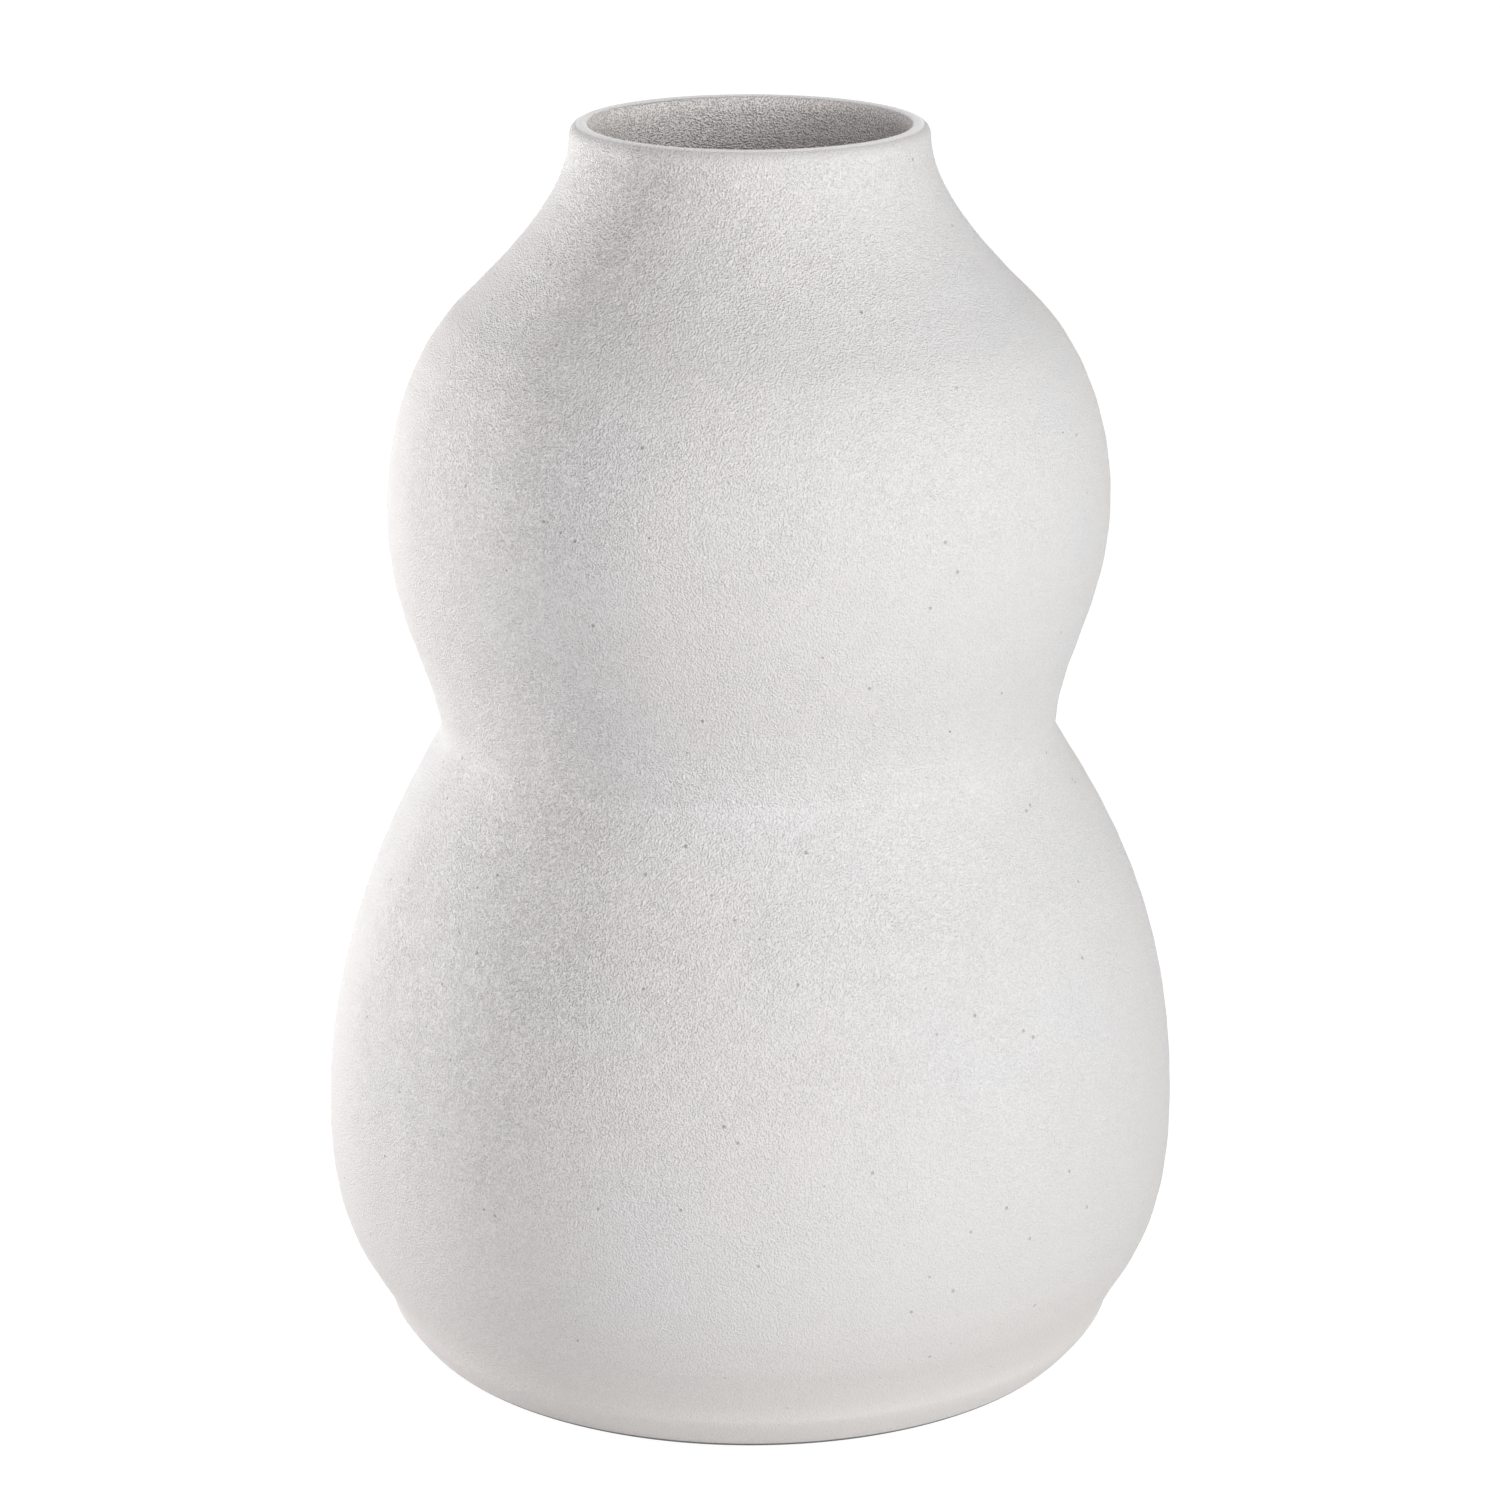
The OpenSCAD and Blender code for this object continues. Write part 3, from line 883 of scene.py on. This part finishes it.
    # Pinholes painted grey, as painted shade in the holes.
    sparse = maths(tree, "MULTIPLY_ADD", foot, -HOLES_LOST_AT_FOOT, HOLES_SHOWN)
    paint = mixed(tree, maths(tree, "MULTIPLY", holes.outputs["Mask"], sparse), paint, (*finish.pinhole_shade, 1.0))
    paint = mixed(tree, specks.outputs["Mask"], paint, (*finish.iron, 1.0))
    # Painted shadow where the foot meets the table.
    paint = mixed(tree, contact_shadow, paint, (*finish.contact_shadow, 1.0))

    smooth = maths(tree, "MAXIMUM", lip, foot)
    rough = fade_between(tree, smooth, 0.0, 1.0, finish.roughness, finish.smooth_roughness)
    rough = maths(tree, "MULTIPLY_ADD", sand.outputs["Pits"], PIT_ROUGHNESS, rough)
    height = maths(tree, "ADD", sand.outputs["Height"], holes.outputs["Height"])
    height = maths(tree, "ADD", height, lines.outputs["Height"])
    dress(tree, shader, paint, rough, height)
    feed(
        tree, shader,
        {"Specular IOR Level": finish.gloss, "Coat Weight": crest_highlight, "Coat Roughness": finish.crest_roughness},
    )
    lay_out(tree)
    return material


def both_sides(name, scene):
    """The white for the outside, and the sandier white for the inside."""
    shape, finish = scene.vase_shape, scene.vase_finish
    return [white_stoneware(name, shape, finish), white_stoneware(name + " inside", shape, finish, inside=True)]


def wiped_bare_clay(finish):
    """The bare clay under the foot: warmer, rougher and with more specks."""
    material, tree, shader = new_material("Wiped bare clay")
    patches = use_group(
        tree, "Clay tone",
        {"Clay": (*finish.bare_clay, 1.0), "Patch size": BARE_PATCH_SIZE, "Amount": BARE_PATCH_AMOUNT},
    )
    sand = use_group(
        tree, "Sand grain", {"Grain": finish.grain * BARE_GRAIN, "Depth": finish.grain_depth * BARE_DEPTH}
    )
    specks = scattered(tree, finish.iron_spacing / BARE_SPECKS, finish.iron_radius, 0.0, BARE_SPECK_SHIFT)
    # Pits painted towards the pinhole grey, as painted shade in them.
    pits = maths(tree, "MULTIPLY", sand.outputs["Pits"], BARE_PIT_SHADE)
    paint = mixed(tree, pits, patches.outputs[0], (*finish.pinhole_shade, 1.0))
    paint = mixed(tree, specks.outputs["Mask"], paint, (*finish.iron, 1.0))
    rough = maths(tree, "MULTIPLY_ADD", sand.outputs["Pits"], BARE_PIT_ROUGHNESS, finish.bare_roughness)
    dress(tree, shader, paint, rough, sand.outputs["Height"])
    lay_out(tree)
    return material


def softbox(scene, name, power, bearing, rise, height):
    """A rectangular light that looks at the vase's middle, from a bearing to the right of the camera."""
    studio = scene.vase_studio
    light = bpy.data.lights.new(name, "AREA")
    light.shape = "RECTANGLE"
    light.size = studio.softbox_width
    light.size_y = height
    light.energy = power
    lamp = bpy.data.objects.new(name, light)
    towards_lamp = Vector((sin(bearing) * cos(rise), -cos(bearing) * cos(rise), sin(rise)))
    lamp.location = Vector((0.0, 0.0, LIP_TOP / 2)) + towards_lamp * studio.softbox_distance
    lamp.rotation_euler = (-towards_lamp).to_track_quat("-Z", "Y").to_euler()
    lamp.visible_camera = False
    scene.collection.objects.link(lamp)
    return lamp


def seen_directly(tree):
    """One for a ray that shows the backdrop itself, straight or in gloss or glass, and nought for light."""
    path = put(tree, "ShaderNodeLightPath")
    seen = maths(tree, "ADD", path.outputs["Is Camera Ray"], path.outputs["Is Glossy Ray"])
    return maths(tree, "ADD", seen, path.outputs["Is Transmission Ray"], clamp=True)


class VASE_OT_lower_section(bpy.types.Operator):
    """Turn the lower section: foot, floor, belly and the grooved rim"""

    bl_idname = "vase.lower_section"
    bl_label = "Lower section"

    def execute(self, context):
        scene = context.scene
        materials = both_sides("White stoneware", scene) + [wiped_bare_clay(scene.vase_finish)]
        piece = turned_piece(
            "lower_section_piece", Outline(scene.vase_shape).lower_half(), scene, materials
        )
        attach(piece, "root")
        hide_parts("lower_section")
        return {"FINISHED"}


class VASE_OT_upper_section(bpy.types.Operator):
    """Turn the upper section: ridged rim, bulb, shoulder, neck and round lip"""

    bl_idname = "vase.upper_section"
    bl_label = "Upper section"

    def execute(self, context):
        scene = context.scene
        piece = turned_piece(
            "upper_section_piece", Outline(scene.vase_shape).upper_half(), scene,
            both_sides("White stoneware", scene),
        )
        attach(piece, "root")
        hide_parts("upper_section")
        return {"FINISHED"}


class VASE_OT_luting_seam(bpy.types.Operator):
    """Turn the slip between the rims, wiped to a crease outside and left as a bead inside"""

    bl_idname = "vase.luting_seam"
    bl_label = "Luting seam"

    def execute(self, context):
        scene = context.scene
        piece = turned_piece(
            "luting_seam_piece", Outline(scene.vase_shape).seam_half(), scene, both_sides("White slip", scene)
        )
        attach(piece, "root")
        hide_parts("luting_seam")
        return {"FINISHED"}


class VASE_OT_studio(bpy.types.Operator):
    """Set the camera, the softboxes, the even room light and the white floor"""

    bl_idname = "vase.studio"
    bl_label = "Studio"

    def execute(self, context):
        scene = context.scene
        studio = scene.vase_studio
        camera = bpy.data.objects.new("Camera", bpy.data.cameras.new("Camera"))
        camera.data.sensor_width = SENSOR_WIDTH
        camera.data.lens = studio.lens
        camera.location = (0.0, -studio.camera_distance, studio.camera_height)
        camera.rotation_euler = (pi / 2 - studio.camera_pitch, 0.0, 0.0)
        scene.collection.objects.link(camera)
        scene.camera = camera

        rise, height = studio.softbox_rise, studio.softbox_height
        key = softbox(scene, "Key softbox", studio.key_power, KEY_BEARING, rise, height)
        key.data.color = studio.key_tint
        softbox(scene, "Front softbox", studio.front_power, FRONT_BEARING, rise, height)
        softbox(scene, "Rim softbox", studio.rim_power, RIM_BEARING, studio.rim_rise, studio.rim_height)

        bm = bmesh.new()
        bmesh.ops.create_circle(bm, cap_ends=True, cap_tris=True, segments=FLOOR_SIDES, radius=studio.floor_width / 2)
        mesh = bpy.data.meshes.new("Floor")
        bm.to_mesh(mesh)
        bm.free()
        floor = bpy.data.objects.new("Floor", mesh)
        scene.collection.objects.link(floor)
        material = bpy.data.materials.new("White floor")
        tree = emptied(material)
        paint = put(tree, "ShaderNodeBsdfDiffuse", {"Color": (*studio.floor_paint, 1.0)})
        shadow = put(tree, "ShaderNodeBsdfDiffuse", {"Color": (*studio.floor_seen, 1.0)})
        glow = put(tree, "ShaderNodeEmission", {"Strength": studio.floor_glow})
        picture = put(tree, "ShaderNodeAddShader", {0: shadow.outputs[0], 1: glow.outputs[0]})
        both = put(
            tree, "ShaderNodeMixShader", {0: seen_directly(tree), 1: paint.outputs[0], 2: picture.outputs[0]}
        )
        put(tree, "ShaderNodeOutputMaterial", {"Surface": both.outputs[0]})
        lay_out(tree)
        mesh.materials.append(material)

        world = bpy.data.worlds.new("Room")
        scene.world = world
        tree = emptied(world)
        strength = fade_between(tree, seen_directly(tree), 0.0, 1.0, studio.room_light, 1.0)
        tint = mixed(tree, seen_directly(tree), (*studio.room_tint, 1.0), (1.0, 1.0, 1.0, 1.0))
        room = put(tree, "ShaderNodeBackground", {"Color": tint, "Strength": strength})
        put(tree, "ShaderNodeOutputWorld", {"Surface": room.outputs[0]})
        lay_out(tree)
        scene.view_settings.view_transform = "Standard"
        return {"FINISHED"}


class VIEW3D_PT_vase(bpy.types.Panel):
    """Sizes, finish and pieces of the vase"""

    bl_label = "Double gourd vase"
    bl_space_type = "VIEW_3D"
    bl_region_type = "UI"
    bl_category = "Vase"

    def draw(self, context):
        layout = self.layout
        for operator in OPERATORS:
            layout.operator(operator.bl_idname)
        for key in GROUPS:
            group = getattr(context.scene, key)
            box = layout.box()
            box.label(text=group.bl_rna.description)
            for name in group.bl_rna.properties.keys():
                if name not in ("rna_type", "name"):
                    box.prop(group, name)


GROUPS = {
    "vase_shape": VaseShape,
    "vase_handwork": VaseHandwork,
    "vase_finish": VaseFinish,
    "vase_studio": VaseStudio,
}
OPERATORS = (VASE_OT_lower_section, VASE_OT_upper_section, VASE_OT_luting_seam, VASE_OT_studio)


def register():
    """Registers the property groups, the operators and the panel."""
    for name, group in GROUPS.items():
        bpy.utils.register_class(group)
        setattr(bpy.types.Scene, name, PointerProperty(type=group))
    for kind in (*OPERATORS, VIEW3D_PT_vase):
        bpy.utils.register_class(kind)


def unregister():
    """Takes them away again, in the opposite order."""
    for kind in (VIEW3D_PT_vase, *reversed(OPERATORS)):
        bpy.utils.unregister_class(kind)
    for name, group in reversed(GROUPS.items()):
        delattr(bpy.types.Scene, name)
        bpy.utils.unregister_class(group)


def main():
    """Makes the three pieces and the studio."""
    register()
    bpy.ops.vase.lower_section()
    bpy.ops.vase.upper_section()
    bpy.ops.vase.luting_seam()
    bpy.ops.vase.studio()


if __name__ == "__main__":
    main()
